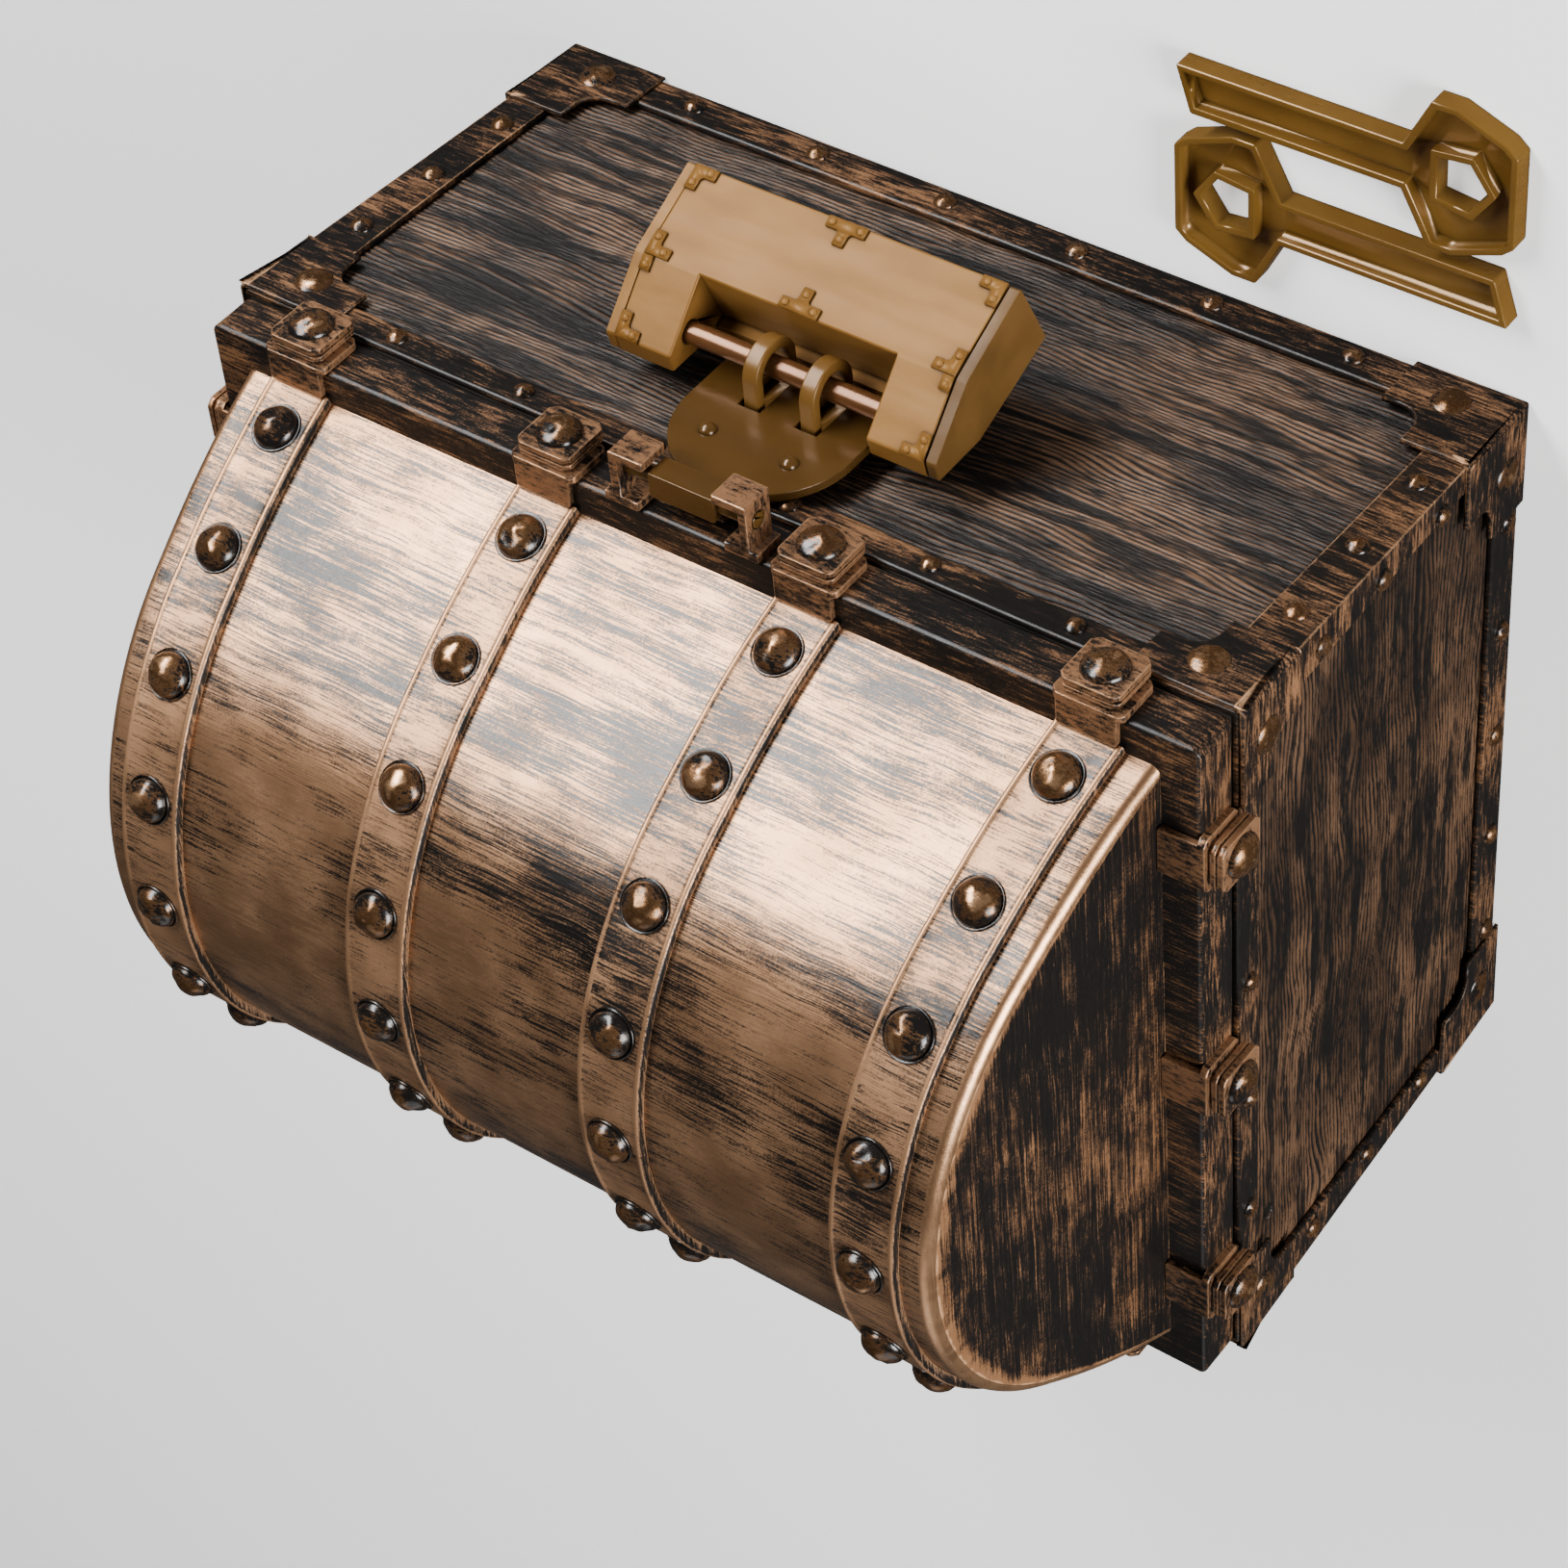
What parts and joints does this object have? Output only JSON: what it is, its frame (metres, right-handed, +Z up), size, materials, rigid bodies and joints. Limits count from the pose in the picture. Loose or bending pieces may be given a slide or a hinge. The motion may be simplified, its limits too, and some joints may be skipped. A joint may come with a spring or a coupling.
{
  "type": "treasure chest",
  "caption": "Domed treasure chest with strap trim, hinged lid, swinging hasp and a sliding-bolt padlock with its keys.",
  "frame": {"origin": "centre of the box's footprint on the face it stands on", "axes": "+Z up, -Y the front with the hasp and padlock, +X right as seen from the front"},
  "size_m": [0.2116, 0.2106, 0.1639],
  "materials": {
    "wood_panel": "moulded wood grain, near black with dry-brushed bronze",
    "bronze_trim": "near black with dry-brushed bronze, worn bright along edges",
    "lid_skin": "semi-gloss near black with dry-brushed bronze along the lid",
    "gold_plastic": "satin moulded old-gold plastic",
    "key_plastic": "satin moulded olive-gold plastic",
    "bolt_bronze": "glossy reddish bronze",
    "hinge_steel": "plain drawn wire"
  },
  "bodies": {
    "chest_base": {"base_shell": "wood_panel", "bottom_band": "bronze_trim", "top_band": "bronze_trim", "corner_posts": "bronze_trim", "bottom_corner_guards": "bronze_trim", "top_corner_guards": "bronze_trim", "band_rivets": "bronze_trim", "guard_rivets": "bronze_trim", "base_hinge_leaves": "bronze_trim", "hinge_pins": "hinge_steel"},
    "lid": {"lid_hinge_leaves": "bronze_trim", "lid_shell": "lid_skin", "lid_rim": "bronze_trim", "strap_right_outer": "bronze_trim", "strap_right_inner": "bronze_trim", "strap_left_inner": "bronze_trim", "strap_left_outer": "bronze_trim", "strap_rivets": "bronze_trim", "front_clips": "bronze_trim", "rear_clips": "bronze_trim", "right_end_clips": "bronze_trim", "left_end_clips": "bronze_trim", "clip_rivets": "bronze_trim", "hasp_brackets": "bronze_trim"},
    "hasp": {"hasp_plate": "gold_plastic", "hasp_rivets": "gold_plastic", "staple_loops": "gold_plastic"},
    "padlock": {"padlock_case": "gold_plastic", "padlock_back_cover": "gold_plastic", "padlock_key_end": "gold_plastic", "padlock_mounts": "gold_plastic", "padlock_studs": "gold_plastic"},
    "bolt": {"bolt_end_cap": "gold_plastic", "bolt_bar": "bolt_bronze", "bolt_spring_leaves": "gold_plastic"},
    "key_1": {"key_1": "key_plastic"},
    "key_2": {"key_2": "key_plastic"}
  },
  "joints": [
    {"name": "lid_hinge", "type": "hinge", "parent": "chest_base", "child": "lid", "pos_m": [0, 0.0799, 0.0907], "axis": [-1, 0, 0], "range_deg": [0, 105]},
    {"name": "hasp_swing", "type": "hinge", "parent": "lid", "child": "hasp", "pos_m": [-0.002, -0.082, 0.0975], "axis": [-1, 0, 0], "range_deg": [0, 150]},
    {"name": "padlock_swing", "type": "hinge", "parent": "hasp", "child": "padlock", "pos_m": [0, -0.0846, 0.068], "axis": [-1, 0, 0], "range_deg": [0, 90]},
    {"name": "bolt_slide", "type": "slide", "parent": "padlock", "child": "bolt", "axis": [-1, 0, 0], "range_m": [0, 0.048]},
    {"name": "key_1_lift", "type": "slide", "parent": "chest_base", "child": "key_1", "axis": [0, 0, 1], "range_m": [0, 0.03]},
    {"name": "key_2_lift", "type": "slide", "parent": "chest_base", "child": "key_2", "axis": [0, 0, 1], "range_m": [0, 0.03]}
  ]
}
